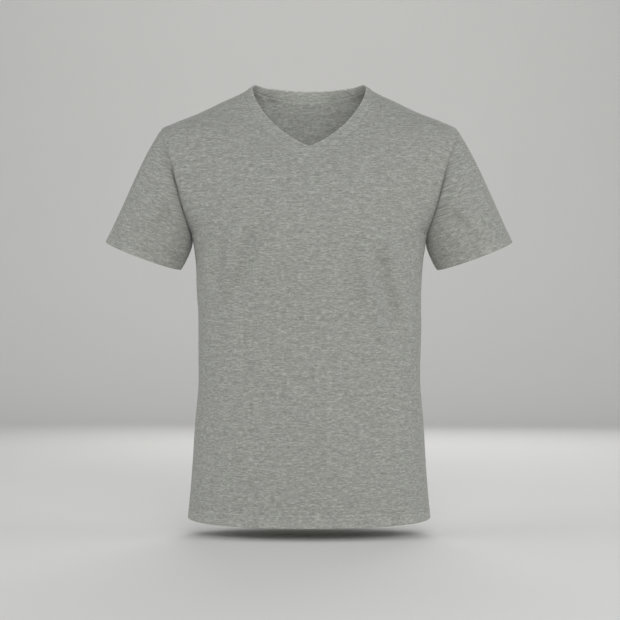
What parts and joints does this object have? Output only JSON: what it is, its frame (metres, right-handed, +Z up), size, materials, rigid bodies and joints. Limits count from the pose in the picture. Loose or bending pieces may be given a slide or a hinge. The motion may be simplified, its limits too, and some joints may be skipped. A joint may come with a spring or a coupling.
{
  "type": "v-neck t-shirt",
  "caption": "Short-sleeved V-neck T-shirt in grey heather cotton jersey, slim fit, filled out as it is worn, hollow and open at neck, cuffs and hem.",
  "frame": {"origin": "midway between the high points of the two shoulders, where the wearer's shoulders hold the shirt up", "axes": "+Z up along the body, the front faces -Y, the wearer's left side is at +X"},
  "size_m": [0.6676, 0.25, 0.7172],
  "materials": {
    "front": "matt cotton jersey, plain knit, heather yarn",
    "back": "matt cotton jersey, plain knit, heather yarn",
    "sleeve_left": "matt cotton jersey, plain knit, heather yarn",
    "sleeve_right": "matt cotton jersey, plain knit, heather yarn",
    "neckband": "matt cotton jersey, plain knit, heather yarn"
  },
  "bodies": {
    "root": {"front": "front", "back": "back", "sleeve_left": "sleeve_left", "sleeve_right": "sleeve_right", "neckband": "neckband"}
  },
  "joints": []
}
